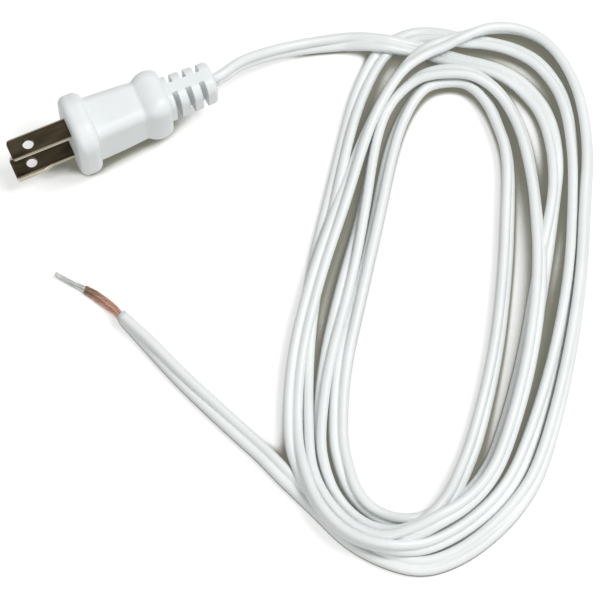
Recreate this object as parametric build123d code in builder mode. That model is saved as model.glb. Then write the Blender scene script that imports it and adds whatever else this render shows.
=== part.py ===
from build123d import *
from math import radians, tan
import os

os.makedirs("parts", exist_ok=True)

# Replacement lamp cord: a moulded two-blade polarised plug, a flat twin cord lying in
# a loose tall coil, and two stripped conductor ends. The plug lies on its narrow side,
# its blades point to -X and the cord leaves it towards +X. Millimetres.

# Blades, folded from sheet
blade_reach = 17.5  # out of the plug's face
blade_pitch = 12.7  # between the blades' middles
blade_width = 6.35
blade_sheet = 0.75  # one leaf, a blade is two leaves thick
blade_seam = 0.1  # open line between the leaves
blade_root = 10.5  # flat blade inside the plug
blade_tip_round = 1.2
blade_tip_bevel = 0.4
fold_round = 0.6
hole_radius = 1.6
hole_from_face = 11.9
wide_tip = 7.94  # the neutral blade's wide end
wide_tip_length = 8.2
wide_tip_slope = 2.8

# Crimp barrels behind the blades
crimp_neck_width = 2.6
crimp_neck_length = 1.5
crimp_length = 5.0
crimp_wall = 0.7

# Moulded plug body, lengths measured behind its front face
flange_width = 19.0
flange_height = 25.5
flange_depth = 6.6
flange_corner = 7.0
flange_front_round = 2.2
flange_back_round = 2.6
neck_width = 13.9  # where the grip leaves the flange
neck_height = 18.5
neck_corner = 3.0
waist_depth = 15.0
waist_width = 13.2
waist_height = 18.0
thin_width = 12.4
thin_height = 17.3
thin_round = 1.5  # where the flare starts
flare_rise = 4.2  # from the thinnest ring out to the flare
flare_depth = 25.4  # widest ring behind the grip
flare_width = 15.2
flare_height = 20.6
flare_corner = 4.0
shoulder_drop = 3.6  # from the flare in to the shoulder
shoulder_width = 13.2
shoulder_height = 18.4
shoulder_round = 2.2

# Strain relief, slotted from both flat sides
relief_width = 10.6
relief_height = 13.8
relief_end_width = 10.0
relief_end_height = 12.4
relief_corner = 3.6
relief_round = 1.4
slot_count = 3
slot_gap = 2.4  # from the shoulder to the middle of the first slot
slot_pitch = 4.05
slot_width = 1.7
slot_rib = 3.2  # middle rib that the slots leave
slot_to_end = 4.0  # from the middle of the last slot to the relief's end

# Stiff insert that holds the blades apart
insert_depth = 1.6
insert_length = 7.0
insert_margin_side = 1.6  # beside each blade
insert_margin_end = 1.4  # beyond each blade
insert_corner = 1.5

# Flat twin cord and its conductors
cord_width = 5.4
cord_thickness = 2.8
conductor_radius = 0.6
split_start = 18.0  # where each leg's insulation begins
leg_bend_depth = 21.0
leg_join_depth = 29.0
leg_bend_radius = 8.0
exit_run = 6.5
bare_run = 3.5
tin_overlap_run = 2.6

# Loose coil, as one ring
coil_height = 8.5
coil_top_round = 3.0
coil_foot_round = 0.8
coil_gap = 0.5  # beside a cord that enters the ring

# Values that follow from the sizes
thin_depth = flare_depth - flare_rise
shoulder_depth = flare_depth + shoulder_drop
slot_first = shoulder_depth + slot_gap
plug_length = slot_first + (slot_count - 1) * slot_pitch + slot_to_end
face_x = (blade_reach - plug_length) / 2
axis_z = flange_height / 2
end_x = face_x + plug_length
blade_thickness = 2 * blade_sheet
blade_side = blade_pitch / 2
barrel_start = blade_root + crimp_neck_length
barrel_end = barrel_start + crimp_length
barrel_radius = conductor_radius + crimp_wall
lobe_radius = cord_thickness / 2
lobe_side = (cord_width - cord_thickness) / 2
way_in_reach = 11 * cord_width  # past the ring's outline


def across(depth):
    # Plane across the plug, its x along the blades' width and its y upwards
    return Plane(origin=(face_x + depth, 0, axis_z), x_dir=(0, 1, 0), z_dir=(1, 0, 0))


def level(height):
    # Level plane through the plug, height above its axis, x along the plug from its face
    return Plane(origin=(face_x, 0, axis_z + height), x_dir=(1, 0, 0), z_dir=(0, 0, 1))


side_view = Plane(origin=(face_x, 0, axis_z), x_dir=(1, 0, 0), z_dir=(0, -1, 0))


def arc_radii(points):
    # Each bend is as large as its two straight runs allow
    radii = []
    for before, here, after in zip(points, points[1:], points[2:]):
        run_in = Vector(*here) - Vector(*before)
        run_out = Vector(*after) - Vector(*here)
        half_turn = radians(run_in.get_angle(run_out)) / 2
        radii.append(0.45 * min(run_in.length, run_out.length) / tan(half_turn))
    return radii


def loop_radii(points):
    # The same for a closed outline
    return arc_radii(points[-1:] + points + points[:1])


# Blade blanks: plan outline and side profile, each run through the other
def blade_plan(tip_width):
    half = blade_width / 2
    tip_half = tip_width / 2
    wide_from = -blade_reach + wide_tip_length
    slope_from = wide_from + wide_tip_slope
    edge = [(blade_root, half), (slope_from, half), (wide_from, tip_half)]
    edge += [(-blade_reach, tip_half), (-blade_reach, -tip_half)]
    edge += [(wide_from, -tip_half), (slope_from, -half), (blade_root, -half)]
    if tip_width == blade_width:
        edge = [edge[0], edge[3], edge[4], edge[7]]
    return edge


blanks = {}
for side, tip_width in ((1, blade_width), (-1, wide_tip)):
    height = side * blade_side
    with BuildPart() as blank:
        with BuildSketch(level(height - blade_sheet)):
            with BuildLine():
                Polyline(*blade_plan(tip_width), close=True)
            make_face()
        extrude(amount=blade_thickness)
        folded = blank.edges().filter_by(
            lambda e: e.center().Y < -blade_width / 2 + 0.01
            and abs(e.center().Z - axis_z - height) > blade_sheet - 0.01
            and e.length > blade_width / 4
            and abs(e.tangent_at(0).Y) < 0.9
        )
        fillet(folded, min(fold_round, 0.9 * blade_sheet))
        with BuildSketch(side_view.offset(-tip_width)) as profile:
            with Locations(((blade_root - blade_reach) / 2, height)):
                Rectangle(blade_root + blade_reach, blade_thickness)
            chamfer(profile.vertices().group_by(Axis.X)[0], blade_tip_bevel)
        extrude(amount=2 * tip_width, mode=Mode.INTERSECT)
        with BuildSketch(level(height - blade_sheet)) as tip_plan:
            with Locations(((blade_root - blade_reach) / 2, 0)):
                Rectangle(blade_root + blade_reach, tip_width)
            fillet(tip_plan.vertices().group_by(Axis.X)[0], blade_tip_round)
        extrude(amount=blade_thickness, mode=Mode.INTERSECT)
        with BuildSketch(level(height)):
            with Locations((-hole_from_face, 0)):
                Circle(hole_radius)
        extrude(amount=blade_thickness, both=True, mode=Mode.SUBTRACT)
        # neck of the lower leaf and the barrel that grips the conductor
        with BuildSketch(level(height - blade_sheet)):
            with Locations((blade_root, 0)):
                Rectangle(
                    crimp_neck_length, crimp_neck_width, align=(Align.MIN, Align.CENTER)
                )
        extrude(amount=blade_sheet)
        with BuildSketch(across(barrel_start)):
            with Locations((0, height)):
                Circle(barrel_radius)
                Circle(conductor_radius, mode=Mode.SUBTRACT)
        extrude(amount=crimp_length)
    blanks[side] = blank.part

# Line blade, on top, narrow all along
with BuildPart() as line_blade:
    add(blanks[1])
    with BuildSketch(level(blade_side)):
        with Locations((-blade_reach - 1, -blade_width / 2 + blade_sheet)):
            Rectangle(
                blade_reach + blade_root + 1, blade_width, align=(Align.MIN, Align.MIN)
            )
    extrude(amount=blade_seam / 2, both=True, mode=Mode.SUBTRACT)
line_blade.part.label = "line_blade"
export_step(line_blade.part, "parts/line_blade.step")

# Neutral blade, below, wide at its tip
with BuildPart() as neutral_blade:
    add(blanks[-1])
    with BuildSketch(level(-blade_side)):
        with Locations((-blade_reach - 1, -blade_width / 2 + blade_sheet)):
            Rectangle(
                blade_reach + blade_root + 1, wide_tip, align=(Align.MIN, Align.MIN)
            )
    extrude(amount=blade_seam / 2, both=True, mode=Mode.SUBTRACT)
neutral_blade.part.label = "neutral_blade"
export_step(neutral_blade.part, "parts/neutral_blade.step")

# Stiff insert with a window for each blade
insert_width = blade_width + 2 * insert_margin_side
insert_height = blade_pitch + blade_thickness + 2 * insert_margin_end
with BuildPart() as blade_insert:
    with BuildSketch(across(insert_depth)):
        RectangleRounded(insert_width, insert_height, insert_corner)
    extrude(amount=insert_length)
    add(blanks[1], mode=Mode.SUBTRACT)
    add(blanks[-1], mode=Mode.SUBTRACT)
blade_insert.part.label = "blade_insert"
export_step(blade_insert.part, "parts/blade_insert.step")


# Conductors: out of the barrels, together behind the grip, then straight to the end
def leg_points(start, side):
    route = [
        (start, 0, side * blade_side),
        (leg_bend_depth, 0, side * blade_side),
        (leg_join_depth, 0, side * lobe_side),
        (plug_length, 0, side * lobe_side),
    ]
    return [(face_x + x, y, axis_z + z) for x, y, z in route]


with BuildPart() as line_conductor:
    with BuildLine():
        FilletPolyline(*leg_points(barrel_start, 1), radius=leg_bend_radius)
    with BuildSketch(across(barrel_start)):
        with Locations((0, blade_side)):
            Circle(conductor_radius)
    sweep()
line_conductor.part.label = "line_conductor"
export_step(line_conductor.part, "parts/line_conductor.step")

with BuildPart() as neutral_conductor:
    with BuildLine():
        FilletPolyline(*leg_points(barrel_start, -1), radius=leg_bend_radius)
    with BuildSketch(across(barrel_start)):
        with Locations((0, -blade_side)):
            Circle(conductor_radius)
    sweep()
neutral_conductor.part.label = "neutral_conductor"
export_step(neutral_conductor.part, "parts/neutral_conductor.step")

# Insulation inside the plug, torn into two legs that join in the strain relief
with BuildPart() as cord_split_end:
    for side in (1, -1):
        with BuildLine() as leg_path:
            FilletPolyline(*leg_points(split_start, side), radius=leg_bend_radius)
        with BuildSketch(across(split_start)):
            with Locations((0, side * blade_side)):
                Circle(lobe_radius)
        sweep(path=leg_path.wires()[0])
    add(line_conductor.part, mode=Mode.SUBTRACT)
    add(neutral_conductor.part, mode=Mode.SUBTRACT)
cord_split_end.part.label = "cord_split_end"
export_step(cord_split_end.part, "parts/cord_split_end.step")

# Moulded body: flange, waisted grip, flare and strain relief in one moulding
with BuildPart() as plug_body:
    with BuildSketch(across(0)):
        RectangleRounded(flange_width, flange_height, flange_corner)
    extrude(amount=flange_depth)
    fillet(plug_body.faces().sort_by(Axis.X)[0].edges(), flange_front_round)
    fillet(plug_body.faces().sort_by(Axis.X)[-1].edges(), flange_back_round)

    # grip, narrowest at the thumb, then out to the flare and in to the shoulder
    grip_start = flange_depth - flange_back_round
    with BuildSketch(across(grip_start)):
        RectangleRounded(neck_width, neck_height, neck_corner)
    with BuildSketch(across(waist_depth)):
        RectangleRounded(waist_width, waist_height, neck_corner)
    with BuildSketch(across(thin_depth)):
        RectangleRounded(thin_width, thin_height, neck_corner)
    loft()
    with BuildSketch(across(thin_depth)):
        RectangleRounded(thin_width, thin_height, neck_corner)
    with BuildSketch(across(flare_depth)):
        RectangleRounded(flare_width, flare_height, flare_corner)
    with BuildSketch(across(shoulder_depth)):
        RectangleRounded(shoulder_width, shoulder_height, flare_corner)
    loft()
    crease = face_x + thin_depth
    fillet(plug_body.edges().filter_by_position(Axis.X, crease, crease), thin_round)
    shoulder = plug_body.faces().sort_by(Axis.X)[-1]
    fillet(shoulder.edges(), shoulder_round)

    # tapered strain relief, sunk into the shoulder where it starts
    with BuildSketch(across(flare_depth)):
        RectangleRounded(relief_width, relief_height, relief_corner)
    with BuildSketch(across(plug_length)):
        RectangleRounded(relief_end_width, relief_end_height, relief_corner)
    loft(ruled=True)
    fillet(plug_body.faces().sort_by(Axis.X)[-1].edges(), relief_round)

    # slots across both flat sides, right through from top to bottom
    for n in range(slot_count):
        with BuildSketch(across(slot_first + n * slot_pitch - slot_width / 2)):
            Rectangle(flange_width, flange_height)
            Rectangle(slot_rib, flange_height, mode=Mode.SUBTRACT)
        extrude(amount=slot_width, mode=Mode.SUBTRACT)

    # everything that the body is moulded round
    for inner in (blanks[1], blanks[-1], blade_insert.part, cord_split_end.part):
        add(inner, mode=Mode.SUBTRACT)
    for inner in (line_conductor.part, neutral_conductor.part):
        add(inner, mode=Mode.SUBTRACT)
plug_body.part.label = "plug_body"
export_step(plug_body.part, "parts/plug_body.step")

# Cord from the plug down to the floor and into the coil, standing on edge
lead_points = [
    (end_x, 0.0, axis_z),
    (end_x + exit_run, 0.0, axis_z),
    (43.6, 1.9, 11.4),
    (50.4, 4.6, 8.8),
    (57.8, 5.7, 5.8),
    (66.0, 3.9, 3.5),
    (74.4, -0.6, 2.9),
    (82.2, -5.4, 2.9),
]
lead_radii = arc_radii(lead_points)
with BuildPart() as cord_lead:
    with BuildLine():
        FilletPolyline(*lead_points, radius=lead_radii)
    with BuildSketch(across(plug_length)):
        with Locations((0, lobe_side), (0, -lobe_side)):
            Circle(lobe_radius)
    sweep()
cord_lead.part.label = "cord_lead"
export_step(cord_lead.part, "parts/cord_lead.step")

# Cord from the coil to its stripped end, flat on the floor and nearly straight
tail_points = [
    (10.2, -125.9, lobe_radius),
    (-5.4, -88.1, lobe_radius),
    (-19.1, -50.8, lobe_radius),
]
tail_radii = arc_radii(tail_points)
tail_start = Vector(*tail_points[0])
tail_way = (Vector(*tail_points[1]) - tail_start).normalized()
tail_plane = Plane(
    origin=tail_start, x_dir=tail_way.cross(Vector(0, 0, 1)), z_dir=tail_way
)
with BuildPart() as cord_tail:
    with BuildLine():
        FilletPolyline(*tail_points, radius=tail_radii)
    with BuildSketch(tail_plane):
        with Locations((lobe_side, 0), (-lobe_side, 0)):
            Circle(lobe_radius)
    sweep()
cord_tail.part.label = "cord_tail"
export_step(cord_tail.part, "parts/cord_tail.step")

# Stripped ends: bare copper that bows apart, then tinned tips side by side
tail_end = Vector(*tail_points[-1])
end_way = (tail_end - Vector(*tail_points[-2])).normalized()
end_side = end_way.cross(Vector(0, 0, 1))
bow = Vector(-22.9, -42.8, 1.1)
tin_start = Vector(-26.7, -37.5, 0.85)
tin_end = Vector(-31.1, -31.6, 0.7)
tin_way = (tin_end - tin_start).normalized()
tin_side = tin_way.cross(Vector(0, 0, 1)).normalized()
bow_spread = 1.75
tin_spread = 0.85
tip_spread = 0.66
bare_radii = []
for name, side in (("line", 1), ("neutral", -1)):
    joint = tin_start + tin_side * (side * tin_spread)
    tip = tin_end + tin_side * (side * tip_spread)
    tip_way = (tip - joint).normalized()
    first = tail_end + end_side * (side * lobe_side)
    route = [
        first,
        first + end_way * bare_run,
        bow + tin_side * (side * bow_spread),
        joint - tip_way * tin_overlap_run,
        joint,
    ]
    points = [(p.X, p.Y, p.Z) for p in route]
    bends = arc_radii(points)
    bare_radii += bends
    with BuildPart() as bare_end:
        with BuildLine():
            FilletPolyline(*points, radius=bends)
        with BuildSketch(Plane(origin=first, z_dir=end_way)):
            Circle(conductor_radius)
        sweep()
    bare_end.part.label = name + "_bare_end"
    export_step(bare_end.part, "parts/" + name + "_bare_end.step")
    with BuildPart() as tinned_tip:
        with BuildSketch(Plane(origin=joint, z_dir=tip_way)):
            Circle(conductor_radius)
        extrude(amount=(tip - joint).length)
        fillet(tinned_tip.edges().sort_by(Axis.X)[0], conductor_radius / 3)
    tinned_tip.part.label = name + "_tinned_tip"
    export_step(tinned_tip.part, "parts/" + name + "_tinned_tip.step")

# Coil: the outer shape of the loose oval ring that the turns fill
ring_outside = [
    (80.0, -3.6), (91.0, -3.2), (104.0, -9.0), (118.0, -12.6), (127.0, -20.5),
    (129.2, -33.0), (124.6, -52.5), (113.0, -76.2), (100.5, -98.2), (85.8, -119.1),
    (70.6, -136.3), (53.4, -148.8), (36.1, -154.0), (22.5, -150.4), (12.0, -138.0),
    (7.2, -121.0), (6.4, -104.3), (13.5, -88.0), (27.5, -66.5), (44.5, -46.5),
    (58.5, -24.5), (69.0, -11.0),
]
ring_inside = [
    (91.8, -20.9), (96.8, -29.0), (97.5, -45.2), (93.4, -59.9), (82.5, -80.5),
    (63.8, -109.4), (47.3, -129.8), (33.9, -136.8), (26.0, -131.5), (22.2, -117.5),
    (24.8, -101.7), (32.3, -86.9), (45.7, -70.5), (63.3, -46.6), (76.7, -30.7),
    (84.0, -22.3),
]
lead_end = Vector(*lead_points[-1])
lead_way = (lead_end - Vector(*lead_points[-2])).normalized()
with BuildPart() as cord_coil:
    with BuildSketch():
        with BuildLine():
            FilletPolyline(*ring_outside, radius=loop_radii(ring_outside), close=True)
        make_face()
    extrude(amount=coil_height)
    with BuildSketch():
        with BuildLine():
            FilletPolyline(*ring_inside, radius=loop_radii(ring_inside), close=True)
        make_face()
    extrude(amount=coil_height, mode=Mode.SUBTRACT)
    fillet(cord_coil.faces().sort_by(Axis.Z)[-1].edges(), coil_top_round)
    fillet(cord_coil.faces().sort_by(Axis.Z)[0].edges(), coil_foot_round)
    # ways in for the lead and the tail, which end on a flat face of the ring
    with BuildSketch(Plane(origin=(lead_end.X, lead_end.Y, 0), x_dir=-lead_way)):
        Rectangle(
            way_in_reach, cord_thickness + 2 * coil_gap, align=(Align.MIN, Align.CENTER)
        )
    extrude(amount=coil_height, mode=Mode.SUBTRACT)
    with BuildSketch(Plane(origin=(tail_start.X, tail_start.Y, 0), x_dir=tail_way)):
        with Locations((0, -cord_width / 2 - coil_gap)):
            Rectangle(way_in_reach, 3 * cord_width, align=(Align.MIN, Align.MIN))
    extrude(amount=coil_height, mode=Mode.SUBTRACT)
cord_coil.part.label = "cord_coil"
export_step(cord_coil.part, "parts/cord_coil.step")

print("lead arc radii", [round(r, 1) for r in lead_radii])
print("tail arc radii", [round(r, 1) for r in tail_radii])
print("bare end arc radii", [round(r, 1) for r in bare_radii])
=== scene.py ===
import math
import bpy
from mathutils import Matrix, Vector


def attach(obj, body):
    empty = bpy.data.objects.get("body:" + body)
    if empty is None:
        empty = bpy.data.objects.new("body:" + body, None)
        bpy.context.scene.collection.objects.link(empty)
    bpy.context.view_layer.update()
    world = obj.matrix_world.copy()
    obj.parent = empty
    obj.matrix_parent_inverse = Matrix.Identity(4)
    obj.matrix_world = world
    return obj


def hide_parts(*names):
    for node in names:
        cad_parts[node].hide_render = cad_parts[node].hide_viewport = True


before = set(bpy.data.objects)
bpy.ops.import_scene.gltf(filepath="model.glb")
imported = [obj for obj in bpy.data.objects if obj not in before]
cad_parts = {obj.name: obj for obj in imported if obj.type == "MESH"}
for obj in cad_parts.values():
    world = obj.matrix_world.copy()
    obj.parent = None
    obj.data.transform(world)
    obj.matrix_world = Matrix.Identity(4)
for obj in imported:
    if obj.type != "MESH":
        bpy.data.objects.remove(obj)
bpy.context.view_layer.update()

print("frame loaded:", sorted(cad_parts))

# camera, at the photograph's viewing angle
cameraSetup = {
    "azimuth": -23.8,  # degrees
    "elevation": 69.0,
    "distance": 0.835,  # metres
    "lens": 180.0,
    "sensor": 36.0,
    "target": (0.028372, -0.065831, 0.0),
}


def makeCamera():
    turn, tip = math.radians(cameraSetup["azimuth"]), math.radians(cameraSetup["elevation"])
    ahead = Vector((-math.sin(turn) * math.cos(tip), math.cos(turn) * math.cos(tip), -math.sin(tip)))
    data = bpy.data.cameras.new("photoCamera")
    data.lens, data.sensor_width = cameraSetup["lens"], cameraSetup["sensor"]
    camera = bpy.data.objects.new("photoCamera", data)
    camera.location = Vector(cameraSetup["target"]) - ahead * cameraSetup["distance"]
    camera.rotation_mode = "QUATERNION"
    camera.rotation_quaternion = ahead.to_track_quat("-Z", "Y")
    bpy.context.collection.objects.link(camera)
    bpy.context.scene.camera = camera


makeCamera()
print("camera placed")


# helpers for routes and meshes
def plainMesh(item):
    bpy.context.view_layer.update()
    return bpy.data.meshes.new_from_object(item.evaluated_get(bpy.context.evaluated_depsgraph_get()))


def routeLine(name, points, steps):
    # line of a smooth open spline that has these control points
    data = bpy.data.curves.new(name, "CURVE")
    data.dimensions = "3D"
    data.resolution_u = steps
    spline = data.splines.new("NURBS")
    spline.points.add(len(points) - 1)
    for place, point in zip(spline.points, points):
        place.co = (*point, 1.0)
    spline.order_u = 3
    spline.use_endpoint_u = True
    guide = bpy.data.objects.new(name, data)
    bpy.context.collection.objects.link(guide)
    line = plainMesh(guide)
    found = [vertex.co.copy() for vertex in line.vertices]
    bpy.data.objects.remove(guide)
    bpy.data.meshes.remove(line)
    return found


def makePiece(name, mesh, finish):
    piece = bpy.data.objects.new(name, mesh)
    bpy.context.collection.objects.link(piece)
    mesh.materials.clear()
    mesh.materials.append(finish)
    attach(piece, "root")
    return piece


# flat twin cord; its section and places are in millimetres
cordSizes = {
    "length": 1.83,  # metres
    "lobeRadius": 1.4,
    "lobeSide": 1.3,  # from the cord's middle to each lobe's
    "lobeAngle": 138,  # degrees, to both sides of a lobe's outermost point
    "lobePoints": 14,
    "webHalf": 0.74,
    "splineSteps": 9,
    "restBeside": 0.8,  # nearer than this share of both widths, a turn lies on the other
    "clearance": 0.06,  # over the floor, and between turns
    "leadSpot": (16.1, 2.7, 1.4, 4.4),  # lane, half width, half height and z at the last gate
    "underGates": (15, 16, 17, 18),  # where the last turn slips out under the others
    "rampSlope": 0.35,  # of the humps over other turns
    "rampGates": 4,  # how many gates away a hump's ramp may start
    "leastStep": 4.0,  # a place nearer than this to the one before is left out
}

# x, y, z and roll from the plug to the coil; roll 0 lies flat, 90 stands on edge
leadPoints = [
    (30.5, 0, 12.75, -90), (33.0, 0.15, 12.75, -90), (39.5, 2.65, 11.2, -90), (45.6, 4.05, 7.8, -86),
    (52.5, 4.5, 5.0, -80), (61.0, 3.6, 3.2, -72), (70.4, 1.0, 2.8, -52), (73.8, -0.6, 3.4, -30),
    (77.0, -2.5, 4.3, -12), (80.0, -4.2, 4.5, -2), (83.2, -6.2, 4.4, 0), (86.5, -7.9, 3.0, 0),
    (90.0, -9.9, 1.9, 5), (93.2, -12.6, 1.7, 8),
]
# the same from the coil to the stripped end
tailPoints = [
    (3.3, -110.5, 1.9, 15), (1.0, -103.6, 2.0, 20), (-2.3, -96.0, 2.05, 20),
    (-6.2, -86.6, 2.25, 30), (-10.6, -75.9, 2.5, 45), (-13.9, -66.2, 2.65, 55),
    (-16.6, -58.2, 2.75, 70), (-19.2, -51.2, 2.75, 88),
]

# gates round the coil's inner edge: x, y and the direction outwards, clockwise from the top
coilGates = [
    (90.7, -23.4, 65), (94.9, -26.7, 59), (95.9, -32.6, 51), (96.3, -38.5, 41), (95.8, -43.4, 30),
    (95.2, -48.9, 15), (93.2, -55.1, -5), (90.0, -62.7, -21), (81.1, -80.2, -31), (67.5, -100.8, -41),
    (52.9, -119.1, -50), (46.3, -126.2, -58), (40.6, -130.9, -72), (35.3, -133.2, -88),
    (30.6, -133.2, -104), (26.2, -131.0, -122), (23.2, -127.2, -145), (22.3, -121.9, -170),
    (23.2, -116.0, 171), (25.3, -108.5, 160), (34.3, -91.9, 147), (47.3, -75.1, 135),
    (61.7, -56.9, 134), (73.6, -40.4, 131), (80.6, -33.3, 123), (85.2, -29.2, 102), (88.6, -26.0, 85),
]

# each turn's lanes, which are its distances outwards from the gates, and its rolls there
coilTurns = [
    ([10.1, 9.5, 13.7, 17.7, 20.0, 20.5, 18.6, 16.3, 13.2, 12.9, 12.4, 10.8, 8.2, 5.7,
      4.6, 4.2, 3.8, 3.8, 3.9, 4.4, 4.9, 4.8, 5.7, 6.1, 6.5, 6.5, 4.9],
     [10, 15, 20, 10, 5, 20, 35, 75, 20, 10, 10, 15, 30, 50,
      70, 55, 60, 45, 20, 10, 20, 60, 60, 55, 65, 70, 50]),
    ([2.5, 3.6, 6.2, 6.5, 5.7, 5.0, 4.1, 3.3, 3.3, 4.3, 4.7, 4.5, 5.3, 6.5,
      7.9, 8.8, 8.9, 9.2, 9.6, 9.6, 9.1, 9.3, 9.7, 11.2, 11.9, 10.0, 6.7],
     [35, 50, 60, 65, 70, 72, 70, 62, 60, 60, 45, 45, 55, 45,
      30, 25, 50, 70, 70, 65, 50, 10, 75, 78, 80, 70, 40]),
    ([3.7, 5.1, 9.0, 11.5, 12.1, 11.3, 10.6, 11.0, 13.1, 13.9, 13.5, 12.3, 10.2, 8.6,
      9.2, 10.8, 11.4, 11.8, 13.1, 12.8, 15.2, 18.7, 19.5, 19.6, 21.3, 24.0, 21.3],
     [15, 25, 50, 60, 65, 65, 70, 75, 50, 50, 60, 60, 55, 45,
      40, 85, 85, 85, 70, 60, 20, 10, 35, 45, 20, 5, 10]),
    ([16.7, 16.3, 21.2, 25.9, 28.6, 27.5, 23.5, 21.6, 21.2, 20.2, 19.1, 17.1, 14.1, 12.6,
      12.9, 13.0, 14.0, 14.6, 15.5, 16.8, 17.5, 17.8, 16.3, 14.3, 13.9, 14.2, 13.3],
     [15, 30, 45, 40, 40, 60, 80, 85, 78, 70, 40, 40, 50, 55,
      60, 80, 85, 85, 60, 5, 10, 10, 30, 70, 80, 75, 30]),
    ([11.9, 16.4, 25.6, 32.7, 35.2, 32.6, 28.2, 25.0, 24.5, 24.3, 24.2, 22.0, 19.4, 18.1,
      17.4, 14.5, 13.3, 13.8, 19.2],
     [15, 60, 80, 75, 70, 75, 76, 72, 76, 65, 55, 35, 15, 10, 20, 10, 5, 5, 10]),
]


def halfSizes(roll):
    lean = math.radians(roll)
    width = cordSizes["lobeRadius"] + cordSizes["lobeSide"] * abs(math.cos(lean))
    height = cordSizes["lobeRadius"] + cordSizes["lobeSide"] * abs(math.sin(lean))
    return width, height


def stackedTurns():
    # turns laid one after another, each on what already lies in its way
    laid = {len(coilGates) - 1: [cordSizes["leadSpot"]]}
    lastLanes, lastRolls = coilTurns[-1]
    for gate in cordSizes["underGates"]:
        width, height = halfSizes(lastRolls[gate])
        laid[gate] = [(lastLanes[gate], width, height, height)]
    spots = []  # gate, lane, roll, height of the middle, and the least it may be
    for lanes, rolls in coilTurns:
        added = []
        for gate, (lane, roll) in enumerate(zip(lanes, rolls)):
            width, height = halfSizes(roll)
            height += cordSizes["clearance"]
            z = height
            slipsOut = lanes is lastLanes and gate in cordSizes["underGates"]
            for otherLane, otherWidth, otherHeight, otherZ in [] if slipsOut else laid.get(gate, []):
                beside = abs(lane - otherLane) / (width + otherWidth) / cordSizes["restBeside"]
                if beside < 1:
                    z = max(z, otherZ + (height + otherHeight) * math.sqrt(1 - beside ** 2))
            spots.append((gate, lane, roll, z, height))
            added.append((lane, width, height, z))
        for gate, spot in enumerate(added):
            laid.setdefault(gate, []).append(spot)
    return spots


def coilRoute():
    spots = stackedTurns()
    places = []
    for gate, lane, *rest in spots:
        x, y, outward = coilGates[gate]
        outward = math.radians(outward)
        places.append(Vector((x + lane * math.cos(outward), y + lane * math.sin(outward))))
    reach, slope = cordSizes["rampGates"], cordSizes["rampSlope"]
    ramped = []  # long low humps
    for n, place in enumerate(places):
        near = range(max(n - reach, 0), min(n + reach + 1, len(places)))
        ramped.append(max(spots[m][3] - slope * (place - places[m]).length for m in near))
    route = []
    for n, (gate, lane, roll, z, least) in enumerate(spots):
        if n and (places[n] - places[n - 1]).length < cordSizes["leastStep"]:
            continue
        z = ramped[n]
        if 0 < n < len(spots) - 1:  # smoothed with both neighbours
            z = max(least, 0.25 * ramped[n - 1] + 0.5 * z + 0.25 * ramped[n + 1])
        route.append((places[n].x, places[n].y, z, roll))
    return route


def sectionPoints():
    # two round lobes joined by a web, as x across and y through the cord
    radius, last = cordSizes["lobeRadius"], cordSizes["lobePoints"] - 1
    half = []
    for n in range(cordSizes["lobePoints"]):
        angle = math.radians(-cordSizes["lobeAngle"] * (1 - 2 * n / last))
        half.append((cordSizes["lobeSide"] + radius * math.cos(angle), radius * math.sin(angle)))
    web = cordSizes["webHalf"]
    return half + [(0.0, web)] + [(-x, -y) for x, y in half] + [(0.0, -web)]


def makeCord():
    route = leadPoints + coilRoute() + tailPoints
    steps = cordSizes["splineSteps"]
    line = routeLine("cordRoute", [(x / 1000, y / 1000, z / 1000) for x, y, z, roll in route], steps)
    rolls = [point.x for point in routeLine("cordRoll", [(spot[3], 0, 0) for spot in route], steps)]
    section = sectionPoints()
    around = len(section)
    rings, faces, runs = [], [], [0.0]
    for n, centre in enumerate(line):
        ahead = (line[min(n + 1, len(line) - 1)] - line[max(n - 1, 0)]).normalized()
        if n:
            runs.append(runs[-1] + (centre - line[n - 1]).length)
        side = ahead.cross(Vector((0, 0, 1))).normalized()
        up = side.cross(ahead)
        lean = math.radians(rolls[n])
        across = side * math.cos(lean) + up * math.sin(lean)
        through = across.cross(ahead)
        rings.extend(centre + (across * x + through * y) / 1000 for x, y in section)
    for n in range(len(line) - 1):
        for k in range(around):
            a, b = n * around + k, n * around + (k + 1) % around
            faces.append((a, a + around, b + around, b))
    faces.append(tuple(range(around)))
    faces.append(tuple(reversed(range((len(line) - 1) * around, len(line) * around))))
    mesh = bpy.data.meshes.new("lampCord")
    mesh.from_pydata(rings, [], faces)
    layer = mesh.uv_layers.new(name="cordUV")
    for face in mesh.polygons:
        face.use_smooth = len(face.vertices) == 4  # both ends stay flat
        for corner in face.loop_indices:
            ring, k = divmod(mesh.loops[corner].vertex_index, around)
            layer.data[corner].uv = (runs[ring], k / around)
    mesh.update()
    print("cord line:", len(line), "points,", round(runs[-1], 4), "m")
    return mesh, line


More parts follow.
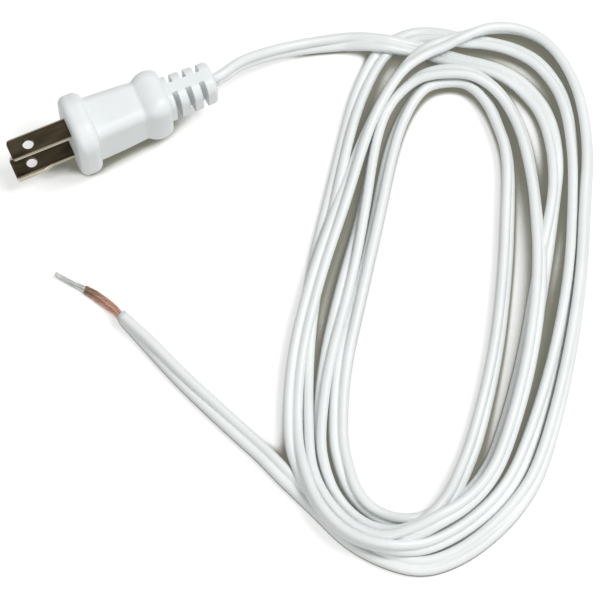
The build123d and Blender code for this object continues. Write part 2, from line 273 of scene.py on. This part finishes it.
# stripped ends: each conductor's middle line in millimetres, its strands in metres
bareSizes = {
    "linePoints": [
        (-19.2, -51.2, 1.45), (-20.6, -48.6, 1.25), (-21.8, -46.3, 1.0), (-23.5, -42.9, 0.85),
        (-25.1, -40.2, 0.75), (-26.9, -37.6, 0.65), (-29.1, -34.5, 0.6), (-31.1, -31.6, 0.6),
    ],
    "neutralPoints": [
        (-19.2, -51.2, 4.05), (-19.9, -48.3, 3.4), (-20.8, -45.9, 2.8), (-22.6, -42.5, 2.4),
        (-24.4, -39.8, 2.0), (-26.6, -37.4, 1.65), (-29.0, -34.4, 1.55), (-31.0, -31.6, 1.5),
    ],
    "lineSteps": 10,
    "buried": 1.5,  # millimetres of each conductor inside the insulation
    "tinFrom": 0.66,  # share of the bare length where the tin starts
    "overlap": 2,  # line points that the copper runs on into the tin
    "seeds": {"line": 3.0, "neutral": 8.0},
    "strands": 11,  # in the outer ring
    "copper": {"Ring Radius": 0.00056, "Strand Radius": 0.00013, "Turns": 1.1, "Stray": 0.00016},
    "tin": {"Ring Radius": 0.00034, "Strand Radius": 0.00014, "Turns": 0.5, "Stray": 0.00003},
}

# inputs of the strand tree, with what they start at
strandInputs = {
    "Strands": ("NodeSocketInt", 10),
    "Ring Radius": ("NodeSocketFloat", 0.0005),
    "Strand Radius": ("NodeSocketFloat", 0.00013),
    "Turns": ("NodeSocketFloat", 1.0),
    "Stray": ("NodeSocketFloat", 0.0001),
    "Seed": ("NodeSocketFloat", 3.0),
}
strandLook = {
    "allStrands": 1.5,  # of the outer ring's number, with those inside
    "innerRing": 0.5,  # taken off the ring's radius for the strands inside
    "sides": 7,
    "strayScale": 260.0,
    "strayStep": 0.37,  # from one strand to the next
}


def strandTree():
    # outer ring of strands and half as many inside, turned round the middle line
    tree = bpy.data.node_groups.new("twistedStrands", "GeometryNodeTree")
    sockets = tree.interface
    sockets.new_socket("Geometry", in_out="INPUT", socket_type="NodeSocketGeometry")
    for name, (kind, value) in strandInputs.items():
        sockets.new_socket(name, in_out="INPUT", socket_type=kind).default_value = value
    sockets.new_socket("Finish", in_out="INPUT", socket_type="NodeSocketMaterial")
    sockets.new_socket("Geometry", in_out="OUTPUT", socket_type="NodeSocketGeometry")
    nodes, links = tree.nodes, tree.links
    entry, leave = nodes.new("NodeGroupInput"), nodes.new("NodeGroupOutput")

    def worked(kind, *values):
        node = nodes.new("ShaderNodeMath")
        node.operation = kind
        for socket, value in zip(node.inputs, values):
            if hasattr(value, "links"):
                links.new(value, socket)
            else:
                socket.default_value = value
        return node.outputs[0]

    def scaled(vector, factor):
        node = nodes.new("ShaderNodeVectorMath")
        node.operation = "SCALE"
        links.new(vector, node.inputs[0])
        links.new(factor, node.inputs["Scale"])
        return node.outputs[0]

    def joined(kind, first, second):
        node = nodes.new("ShaderNodeVectorMath")
        node.operation = kind
        links.new(first, node.inputs[0])
        links.new(second, node.inputs[1])
        return node.outputs[0]

    toCurve = nodes.new("GeometryNodeMeshToCurve")
    links.new(entry.outputs["Geometry"], toCurve.inputs[0])
    copies = nodes.new("GeometryNodeDuplicateElements")
    copies.domain = "SPLINE"
    links.new(toCurve.outputs[0], copies.inputs["Geometry"])
    index, count = copies.outputs["Duplicate Index"], entry.outputs["Strands"]
    links.new(worked("MULTIPLY", count, strandLook["allStrands"]), copies.inputs["Amount"])
    inner = worked("GREATER_THAN", index, worked("SUBTRACT", count, 0.5))
    share = worked("MULTIPLY", worked("DIVIDE", index, count), worked("ADD", inner, 1.0))
    along = nodes.new("GeometryNodeSplineParameter").outputs["Factor"]
    turned = worked("ADD", share, worked("MULTIPLY", along, entry.outputs["Turns"]))
    angle = worked("MULTIPLY", turned, math.tau)
    shrink = worked("SUBTRACT", 1.0, worked("MULTIPLY", inner, strandLook["innerRing"]))
    radius = worked("MULTIPLY", entry.outputs["Ring Radius"], shrink)
    normal = nodes.new("GeometryNodeInputNormal").outputs[0]
    tangent = nodes.new("GeometryNodeInputTangent").outputs[0]
    aside = joined("CROSS_PRODUCT", normal, tangent)
    offset = joined("ADD", scaled(normal, worked("MULTIPLY", radius, worked("COSINE", angle))),
                    scaled(aside, worked("MULTIPLY", radius, worked("SINE", angle))))
    wander = nodes.new("ShaderNodeTexNoise")
    wander.noise_dimensions = "4D"
    wander.inputs["Scale"].default_value = strandLook["strayScale"]
    own = worked("MULTIPLY", index, strandLook["strayStep"])
    links.new(worked("ADD", own, entry.outputs["Seed"]), wander.inputs["W"])
    centred = nodes.new("ShaderNodeVectorMath")
    centred.operation = "SUBTRACT"
    links.new(wander.outputs["Color"], centred.inputs[0])
    centred.inputs[1].default_value = (0.5, 0.5, 0.5)
    stray = scaled(centred.outputs[0], worked("MULTIPLY", entry.outputs["Stray"], 2.0))
    place = nodes.new("GeometryNodeSetPosition")
    links.new(copies.outputs["Geometry"], place.inputs["Geometry"])
    links.new(joined("ADD", offset, stray), place.inputs["Offset"])
    ring = nodes.new("GeometryNodeCurvePrimitiveCircle")
    ring.inputs["Resolution"].default_value = strandLook["sides"]
    links.new(entry.outputs["Strand Radius"], ring.inputs["Radius"])
    skin = nodes.new("GeometryNodeCurveToMesh")
    skin.inputs["Fill Caps"].default_value = True
    links.new(place.outputs[0], skin.inputs["Curve"])
    links.new(ring.outputs[0], skin.inputs["Profile Curve"])
    solid = nodes.new("GeometryNodeRealizeInstances")
    links.new(skin.outputs[0], solid.inputs[0])
    coat = nodes.new("GeometryNodeSetMaterial")
    links.new(solid.outputs[0], coat.inputs["Geometry"])
    links.new(entry.outputs["Finish"], coat.inputs["Material"])
    links.new(coat.outputs[0], leave.inputs[0])
    return tree


def strandPiece(name, line, tree, values, finish):
    guide = bpy.data.meshes.new(name + "Line")
    guide.from_pydata(line, [(n, n + 1) for n in range(len(line) - 1)], [])
    holder = bpy.data.objects.new(name + "Line", guide)
    bpy.context.collection.objects.link(holder)
    modifier = holder.modifiers.new("strands", "NODES")
    modifier.node_group = tree
    byName = {item.name: item.identifier for item in tree.interface.items_tree if item.in_out == "INPUT"}
    for key, value in {**values, "Finish": finish}.items():
        modifier[byName[key]] = value
    mesh = plainMesh(holder)
    holder.modifiers.remove(modifier)
    bpy.data.objects.remove(holder)
    mesh.name = name
    for face in mesh.polygons:
        face.use_smooth = True
    return makePiece(name, mesh, finish)


def makeBareEnds(tree, copper, tin):
    ends = []
    for side, seed in bareSizes["seeds"].items():
        points = [Vector(point) / 1000 for point in bareSizes[side + "Points"]]
        first = points[0] + (points[0] - points[1]).normalized() * bareSizes["buried"] / 1000
        line = routeLine(side + "Conductor", [first] + points, bareSizes["lineSteps"])
        cut = round(len(line) * bareSizes["tinFrom"])
        shared = {"Strands": bareSizes["strands"], "Seed": seed}
        bare = strandPiece(side + "BareEnd", line[:cut + bareSizes["overlap"]], tree,
                           {**bareSizes["copper"], **shared}, copper)
        tip = strandPiece(side + "TinnedTip", line[cut:], tree,
                          {**bareSizes["tin"], **shared}, tin)
        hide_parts(side + "_bare_end")
        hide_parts(side + "_tinned_tip")
        ends += [bare, tip]
    return ends


# finishes: a cloudy tint, a sheen that follows it, and a fine grain
noiseDetail = {"cloud": 5, "grain": 3}
finishes = {
    "cordVinyl": {
        "dark": (0.79, 0.825, 0.82), "light": (0.85, 0.88, 0.875), "cloudScale": 60,
        "roughness": (0.34, 0.46), "grainScale": 2600, "bump": 0.25, "bumpDepth": 0.00005,
        "shader": {"IOR": 1.5},
    },
    "plugVinyl": {
        "dark": (0.81, 0.85, 0.85), "light": (0.87, 0.90, 0.90), "cloudScale": 80,
        "roughness": (0.36, 0.5), "grainScale": 2200, "bump": 0.35, "bumpDepth": 0.00006,
        "shader": {"IOR": 1.5},
    },
    "insertPlastic": {
        "dark": (0.70, 0.70, 0.66), "light": (0.76, 0.76, 0.72), "cloudScale": 90,
        "roughness": (0.45, 0.6), "grainScale": 1500, "bump": 0.2, "bumpDepth": 0.00005,
    },
    "bladeMetal": {  # dark tones are a painted dark reflection; the outer colour is a painted highlight along both long edges
        "dark": (0.030, 0.023, 0.014), "light": (0.085, 0.068, 0.044), "cloudScale": 90,
        "span": (0.35, 0.75), "stretch": (1, 4, 4),
        "roughness": (0.24, 0.38), "grainScale": 900, "bump": 0.3, "bumpDepth": 0.00004,
        "outer": (0.50, 0.46, 0.36), "outerFrom": (0.0027, 0.0032), "shader": {"Metallic": 1.0},
    },
    "bareCopper": {  # dull brown towards the tin
        "dark": (0.24, 0.165, 0.11), "light": (0.44, 0.31, 0.21), "cloudScale": 500,
        "roughness": (0.25, 0.4), "grainScale": 3000, "bump": 0.2, "bumpDepth": 0.00003,
        "outer": (0.63, 0.37, 0.29), "outerFrom": (0.0405, 0.0450), "shader": {"Metallic": 1.0},
    },
    "copperStrand": {
        "dark": (0.30, 0.14, 0.09), "light": (0.72, 0.43, 0.34), "cloudScale": 500,
        "roughness": (0.25, 0.4), "grainScale": 3000, "bump": 0.2, "bumpDepth": 0.00003,
        "shader": {"Metallic": 1.0},
    },
    "tinCoat": {
        "dark": (0.42, 0.44, 0.43), "light": (0.66, 0.68, 0.66), "cloudScale": 350,
        "roughness": (0.3, 0.45), "grainScale": 2500, "bump": 0.3, "bumpDepth": 0.00004,
        "shader": {"Metallic": 1.0},
    },
}


def makeFinish(name, look):
    finish = bpy.data.materials.new(name)
    finish.use_nodes = True
    nodes, links = finish.node_tree.nodes, finish.node_tree.links
    shader = nodes["Principled BSDF"]
    for key, value in look.get("shader", {}).items():
        shader.inputs[key].default_value = value
    where = nodes.new("ShaderNodeTexCoord")
    place = nodes.new("ShaderNodeMapping")
    place.inputs["Scale"].default_value = look.get("stretch", (1, 1, 1))
    links.new(where.outputs["Object"], place.inputs["Vector"])
    cloud = nodes.new("ShaderNodeTexNoise")
    cloud.inputs["Scale"].default_value = look["cloudScale"]
    cloud.inputs["Detail"].default_value = noiseDetail["cloud"]
    links.new(place.outputs[0], cloud.inputs["Vector"])
    tint = nodes.new("ShaderNodeValToRGB")
    low, high = tint.color_ramp.elements
    low.position, high.position = look.get("span", (0.3, 0.7))
    low.color, high.color = (*look["dark"], 1), (*look["light"], 1)
    links.new(cloud.outputs["Fac"], tint.inputs["Fac"])
    colour = tint.outputs["Color"]
    if "outer" in look:  # another colour further out along Y: a painted highlight on the blades, the copper's own colour on the bare ends
        split = nodes.new("ShaderNodeSeparateXYZ")
        links.new(where.outputs["Object"], split.inputs[0])
        off = nodes.new("ShaderNodeMath")
        off.operation = "ABSOLUTE"
        links.new(split.outputs["Y"], off.inputs[0])
        edge = nodes.new("ShaderNodeMapRange")
        edge.inputs["From Min"].default_value = look["outerFrom"][0]
        edge.inputs["From Max"].default_value = look["outerFrom"][1]
        links.new(off.outputs[0], edge.inputs["Value"])
        blend = nodes.new("ShaderNodeMix")
        blend.data_type = "RGBA"
        links.new(edge.outputs["Result"], blend.inputs["Factor"])
        links.new(colour, blend.inputs["A"])
        blend.inputs["B"].default_value = (*look["outer"], 1)
        colour = blend.outputs["Result"]
    links.new(colour, shader.inputs["Base Color"])
    sheen = nodes.new("ShaderNodeMapRange")
    sheen.inputs["To Min"].default_value = look["roughness"][0]
    sheen.inputs["To Max"].default_value = look["roughness"][1]
    links.new(cloud.outputs["Fac"], sheen.inputs["Value"])
    links.new(sheen.outputs["Result"], shader.inputs["Roughness"])
    grain = nodes.new("ShaderNodeTexNoise")
    grain.inputs["Scale"].default_value = look["grainScale"]
    grain.inputs["Detail"].default_value = noiseDetail["grain"]
    links.new(place.outputs[0], grain.inputs["Vector"])
    bump = nodes.new("ShaderNodeBump")
    bump.inputs["Strength"].default_value = look["bump"]
    bump.inputs["Distance"].default_value = look["bumpDepth"]
    links.new(grain.outputs["Fac"], bump.inputs["Height"])
    links.new(bump.outputs["Normal"], shader.inputs["Normal"])
    return finish


made = {name: makeFinish(name, look) for name, look in finishes.items()}
print("finishes made")

cordMesh, cordLine = makeCord()
lampCord = makePiece("lampCord", cordMesh, made["cordVinyl"])
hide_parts("cord_lead", "cord_coil", "cord_tail")
bareEnds = makeBareEnds(strandTree(), made["bareCopper"], made["tinCoat"])
print("cord laid")

# finishes for the CAD nodes that stay
nodeFinishes = {
    "plug_body": "plugVinyl",
    "blade_insert": "insertPlastic",
    "line_blade": "bladeMetal",
    "neutral_blade": "bladeMetal",
    "line_conductor": "copperStrand",
    "neutral_conductor": "copperStrand",
    "cord_split_end": "cordVinyl",
}
for nodeName, finishName in nodeFinishes.items():
    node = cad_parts[nodeName]
    for slot in node.material_slots:
        slot.material = made[finishName]
    if not node.material_slots:
        node.data.materials.append(made[finishName])
print("CAD nodes finished")

# floor, light and background
studio = {
    "floorHalf": 3,  # metres
    "floorColour": (0.55, 0.55, 0.54),
    "floorRoughness": 0.9,
    "floorGlow": 0.55,  # where it is seen, so that it shows white
    "gapShadeColour": (0.24, 0.235, 0.19),  # painted shade on the floor in narrow gaps between strands
    "gapReach": 0.014,
    "gapSpan": (0.42, 0.57),  # how open the floor is where the painted shade is darkest, and where it fades to pale
    "gapSamples": 32,
    "ambient": 0.44,
    "lamps": [((0.62, -0.20, 1.15), 0.45, 9.2), ((-0.35, -0.75, 0.45), 0.18, 1.3)],  # place, size, watts
    "aim": (0.03, -0.06, 0),
}


def seenWhite(nodes, links):
    # 1 where the camera, a reflection or a view through glass meets it
    path = nodes.new("ShaderNodeLightPath")
    first = nodes.new("ShaderNodeMath")
    first.operation = "MAXIMUM"
    links.new(path.outputs["Is Camera Ray"], first.inputs[0])
    links.new(path.outputs["Is Glossy Ray"], first.inputs[1])
    second = nodes.new("ShaderNodeMath")
    second.operation = "MAXIMUM"
    links.new(first.outputs[0], second.inputs[0])
    links.new(path.outputs["Is Transmission Ray"], second.inputs[1])
    return second.outputs[0]


def makeFloor():
    far = studio["floorHalf"]
    mesh = bpy.data.meshes.new("paleFloor")
    mesh.from_pydata([(-far, -far, 0), (far, -far, 0), (far, far, 0), (-far, far, 0)], [], [(0, 1, 2, 3)])
    floor = bpy.data.objects.new("paleFloor", mesh)
    bpy.context.collection.objects.link(floor)
    paint = bpy.data.materials.new("paleFloor")
    paint.use_nodes = True
    nodes, links = paint.node_tree.nodes, paint.node_tree.links
    shader = nodes["Principled BSDF"]
    # painted shade: ambient occlusion darkens the floor's colour where the strands close it in
    openness = nodes.new("ShaderNodeAmbientOcclusion")
    openness.inputs["Distance"].default_value = studio["gapReach"]
    openness.samples = studio["gapSamples"]
    shade = nodes.new("ShaderNodeValToRGB")
    shade.color_ramp.interpolation = "EASE"
    low, high = shade.color_ramp.elements
    low.position, high.position = studio["gapSpan"]
    low.color, high.color = (*studio["gapShadeColour"], 1), (1, 1, 1, 1)
    links.new(openness.outputs["AO"], shade.inputs["Fac"])
    tone = nodes.new("ShaderNodeMix")
    tone.data_type, tone.blend_type = "RGBA", "MULTIPLY"
    tone.inputs["Factor"].default_value = 1.0
    tone.inputs["A"].default_value = (*studio["floorColour"], 1)
    links.new(shade.outputs["Color"], tone.inputs["B"])
    links.new(tone.outputs["Result"], shader.inputs["Base Color"])
    shader.inputs["Roughness"].default_value = studio["floorRoughness"]
    shader.inputs["Specular IOR Level"].default_value = 0.0
    # the glow carries the same painted shade
    links.new(shade.outputs["Color"], shader.inputs["Emission Color"])
    glow = nodes.new("ShaderNodeMath")
    glow.operation = "MULTIPLY"
    links.new(seenWhite(nodes, links), glow.inputs[0])
    glow.inputs[1].default_value = studio["floorGlow"]
    links.new(glow.outputs[0], shader.inputs["Emission Strength"])
    mesh.materials.append(paint)


def makeLight():
    world = bpy.data.worlds.new("studioAir")
    bpy.context.scene.world = world
    world.use_nodes = True
    nodes, links = world.node_tree.nodes, world.node_tree.links
    air = nodes["Background"]
    air.inputs["Color"].default_value = (1, 1, 1, 1)
    level = nodes.new("ShaderNodeMapRange")
    level.inputs["To Min"].default_value, level.inputs["To Max"].default_value = studio["ambient"], 1.0
    links.new(seenWhite(nodes, links), level.inputs["Value"])
    links.new(level.outputs["Result"], air.inputs["Strength"])
    for n, (place, size, power) in enumerate(studio["lamps"]):
        data = bpy.data.lights.new(f"softLamp{n}", "AREA")
        data.shape, data.size, data.energy = "DISK", size, power
        lamp = bpy.data.objects.new(f"softLamp{n}", data)
        lamp.location = place
        lamp.rotation_mode = "QUATERNION"
        lamp.rotation_quaternion = (Vector(studio["aim"]) - Vector(place)).to_track_quat("-Z", "Y")
        bpy.context.collection.objects.link(lamp)
    bpy.context.scene.view_settings.view_transform = "Standard"


makeFloor()
makeLight()
print("studio lit")
